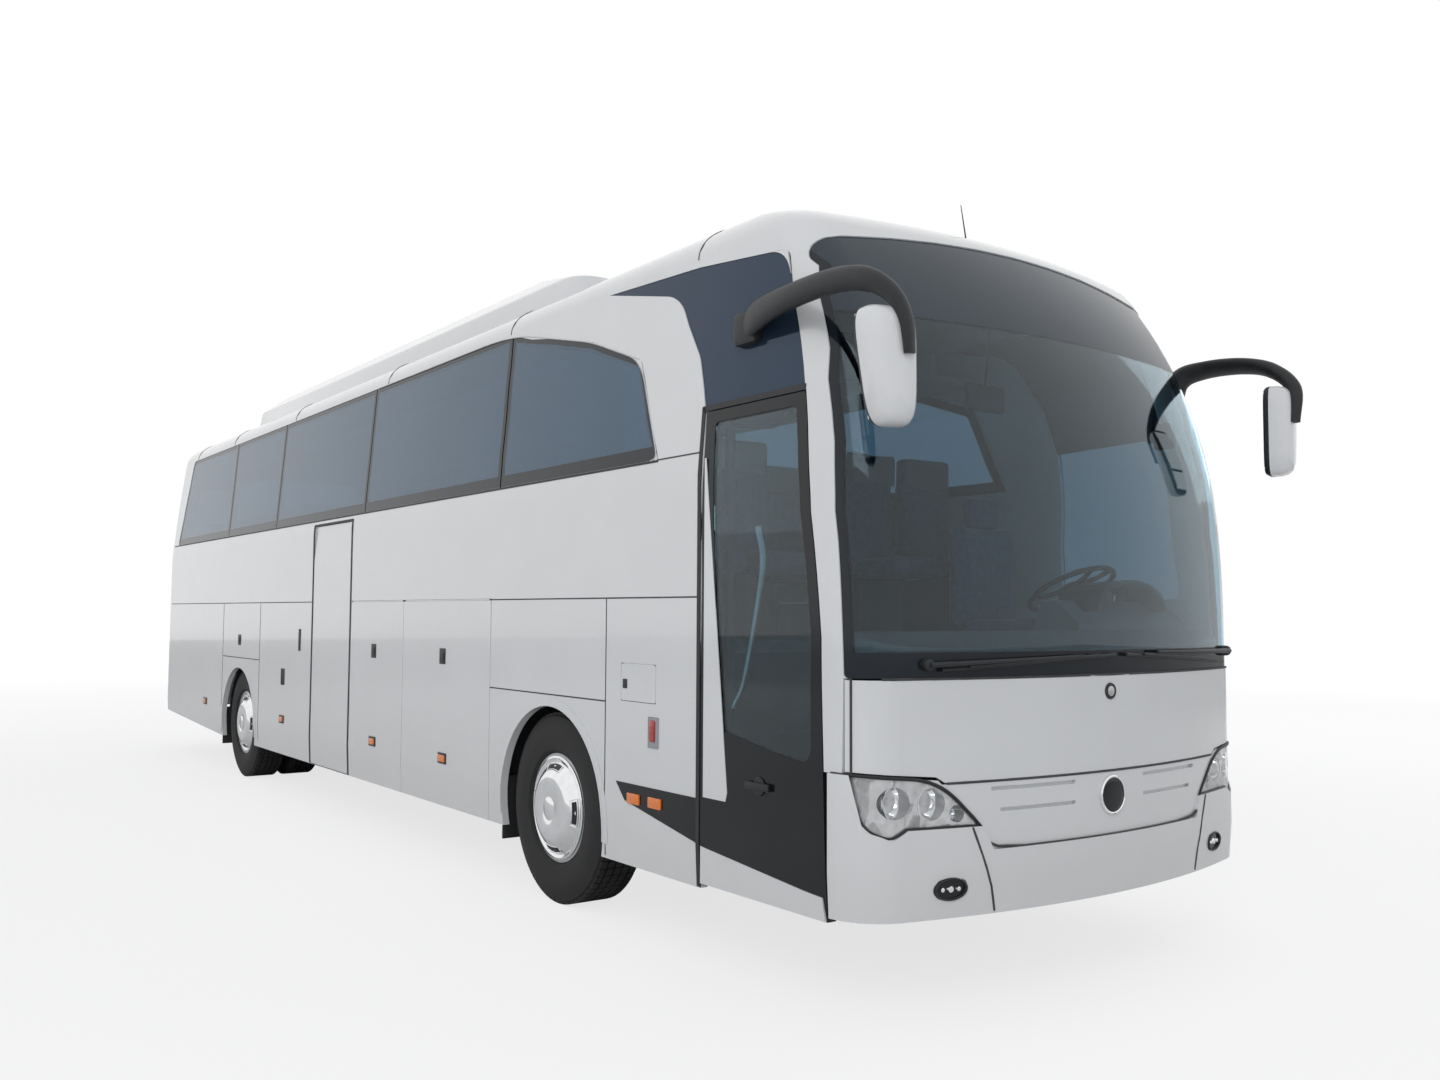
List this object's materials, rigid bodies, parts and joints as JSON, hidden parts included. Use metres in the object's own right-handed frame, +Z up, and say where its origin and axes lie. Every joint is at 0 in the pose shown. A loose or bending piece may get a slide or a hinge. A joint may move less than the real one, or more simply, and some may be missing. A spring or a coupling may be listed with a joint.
{
  "type": "touring coach bus",
  "caption": "Two-axle touring coach with opening doors, luggage flaps, service lids, steering and turning wheels.",
  "frame": {"origin": "centre of the whole coach's bounding box, on the road under the tyres", "axes": "+X forward, +Y towards the driver's side (the side without passenger doors), +Z up"},
  "size_m": [12.3069, 2.9378, 3.71],
  "materials": {
    "paint": "gloss white",
    "glass_clear": "clear laminated",
    "glass_tint": "tinted",
    "dark_trim": "satin black",
    "lens": "clear lens",
    "lamp_inside": "bright reflector and dark housing",
    "lamp_red": "red lens",
    "frame_steel": "satin dark grey",
    "tyre": "black rubber",
    "wheel": "bright metal",
    "iron": "satin grey",
    "seat_cloth": "woven cloth",
    "floor": "floor covering",
    "cabin_plastic": "grained plastic"
  },
  "bodies": {
    "coach": {"roof_shell": "paint", "front_frame": "paint", "windscreen": "glass_clear", "arch_panels": "paint", "side_glass": "glass_tint", "window_frame": "dark_trim", "side_panels": "paint", "headlamp_bodies": "lamp_inside", "lamp_lenses": "lens", "grille_panel": "paint", "front_bumper": "paint", "rear_panel": "paint", "rear_window": "glass_tint", "rear_lamps": "lamp_red", "roof_unit": "paint", "cabin_floor": "floor", "underframe": "frame_steel", "engine": "iron", "passenger_seats": "seat_cloth", "seat_legs": "frame_steel", "driver_seat": "seat_cloth", "parcel_racks": "cabin_plastic", "dashboard": "cabin_plastic", "steering_wheel": "dark_trim", "front_axle": "iron", "rear_axle": "iron", "mirror_heads": "paint", "mirror_arms": "dark_trim", "wipers": "dark_trim"},
    "luggage_flap_right_front": {"luggage_flap_right_front": "paint"},
    "luggage_flap_right_middle": {"luggage_flap_right_middle": "paint"},
    "luggage_flap_left_front": {"luggage_flap_left_front": "paint"},
    "luggage_flap_left_middle": {"luggage_flap_left_middle": "paint"},
    "luggage_flap_left_rear": {"luggage_flap_left_rear": "paint"},
    "fuel_flap": {"fuel_flap": "paint"},
    "front_flap": {"front_flap": "paint"},
    "engine_lid": {"engine_lid": "paint"},
    "roof_hatch_front": {"roof_hatch_front": "paint"},
    "roof_hatch_rear": {"roof_hatch_rear": "paint"},
    "front_door_arm": {"front_door_arm": "frame_steel"},
    "front_door": {"front_door_leaf": "paint", "front_door_glass": "glass_tint"},
    "mid_door_arm": {"mid_door_arm": "frame_steel"},
    "mid_door": {"mid_door_leaf": "paint"},
    "knuckle_right": {"knuckle_right": "iron"},
    "knuckle_left": {"knuckle_left": "iron"},
    "front_wheel_right": {"front_tyre_right": "tyre", "front_rim_right": "wheel"},
    "front_wheel_left": {"front_tyre_left": "tyre", "front_rim_left": "wheel"},
    "rear_wheels_right": {"rear_tyres_right": "tyre", "rear_rims_right": "wheel"},
    "rear_wheels_left": {"rear_tyres_left": "tyre", "rear_rims_left": "wheel"}
  },
  "joints": [
    {"name": "luggage_flap_right_front_hinge", "type": "hinge", "parent": "coach", "child": "luggage_flap_right_front", "pos_m": [1.8991, -1.2693, 1.643], "axis": [-1, 0, 0], "range_deg": [0, 85]},
    {"name": "luggage_flap_right_middle_hinge", "type": "hinge", "parent": "coach", "child": "luggage_flap_right_middle", "pos_m": [0.6991, -1.2693, 1.643], "axis": [-1, 0, 0], "range_deg": [0, 85]},
    {"name": "luggage_flap_left_front_hinge", "type": "hinge", "parent": "coach", "child": "luggage_flap_left_front", "pos_m": [1.8016, 1.2693, 1.643], "axis": [1, 0, 0], "range_deg": [0, 85]},
    {"name": "luggage_flap_left_middle_hinge", "type": "hinge", "parent": "coach", "child": "luggage_flap_left_middle", "pos_m": [0.2216, 1.2693, 1.643], "axis": [1, 0, 0], "range_deg": [0, 85]},
    {"name": "luggage_flap_left_rear_hinge", "type": "hinge", "parent": "coach", "child": "luggage_flap_left_rear", "pos_m": [-1.3884, 1.2693, 1.643], "axis": [1, 0, 0], "range_deg": [0, 85]},
    {"name": "fuel_flap_hinge", "type": "hinge", "parent": "coach", "child": "fuel_flap", "pos_m": [4.2216, -1.272, 1.3193], "axis": [-1, 0, 0], "range_deg": [0, 95]},
    {"name": "front_flap_hinge", "type": "hinge", "parent": "coach", "child": "front_flap", "pos_m": [5.9839, 0, 1.314], "axis": [0, -1, 0], "range_deg": [0, 75]},
    {"name": "engine_lid_hinge", "type": "hinge", "parent": "coach", "child": "engine_lid", "pos_m": [-6.14465, 0, 1.78], "axis": [0, 1, 0], "range_deg": [0, 80]},
    {"name": "roof_hatch_front_hinge", "type": "hinge", "parent": "coach", "child": "roof_hatch_front", "pos_m": [3.5969, 0, 3.456], "axis": [0, -1, 0], "range_deg": [0, 35]},
    {"name": "roof_hatch_rear_hinge", "type": "hinge", "parent": "coach", "child": "roof_hatch_rear", "pos_m": [-5.1531, 0, 3.456], "axis": [0, -1, 0], "range_deg": [0, 35]},
    {"name": "front_door_arm_swing", "type": "hinge", "parent": "coach", "child": "front_door_arm", "pos_m": [4.8036, -1.15, 1.4], "axis": [0, 0, -1], "range_deg": [0, 150]},
    {"name": "front_door_leaf_turn", "type": "hinge", "parent": "front_door_arm", "child": "front_door", "pos_m": [5.2536, -1.15, 1.4], "axis": [0, 0, -1], "range_deg": [-150, 0]},
    {"name": "mid_door_arm_swing", "type": "hinge", "parent": "coach", "child": "mid_door_arm", "pos_m": [-0.6564, -1.15, 1.4], "axis": [0, 0, -1], "range_deg": [0, 150]},
    {"name": "mid_door_leaf_turn", "type": "hinge", "parent": "mid_door_arm", "child": "mid_door", "pos_m": [-0.2064, -1.15, 1.4], "axis": [0, 0, -1], "range_deg": [-150, 0]},
    {"name": "steering_right", "type": "hinge", "parent": "coach", "child": "knuckle_right", "pos_m": [3.3216, -0.89, 0.512], "axis": [0, 0, 1], "range_deg": [-45, 45]},
    {"name": "steering_left", "type": "hinge", "parent": "coach", "child": "knuckle_left", "pos_m": [3.3216, 0.89, 0.512], "axis": [0, 0, 1], "range_deg": [-45, 45]},
    {"name": "front_wheel_right_spin", "type": "hinge", "parent": "knuckle_right", "child": "front_wheel_right", "pos_m": [3.3216, -1.092, 0.512], "axis": [0, 1, 0], "continuous": true},
    {"name": "front_wheel_left_spin", "type": "hinge", "parent": "knuckle_left", "child": "front_wheel_left", "pos_m": [3.3216, 1.092, 0.512], "axis": [0, 1, 0], "continuous": true},
    {"name": "rear_wheels_right_spin", "type": "hinge", "parent": "coach", "child": "rear_wheels_right", "pos_m": [-2.8784, -0.908, 0.512], "axis": [0, 1, 0], "continuous": true},
    {"name": "rear_wheels_left_spin", "type": "hinge", "parent": "coach", "child": "rear_wheels_left", "pos_m": [-2.8784, 0.908, 0.512], "axis": [0, 1, 0], "continuous": true}
  ],
  "couplings": [
    {"joint": "front_door_leaf_turn", "follows": "front_door_arm_swing", "ratio": -1},
    {"joint": "mid_door_leaf_turn", "follows": "mid_door_arm_swing", "ratio": -1},
    {"joint": "steering_left", "follows": "steering_right", "ratio": 1}
  ]
}
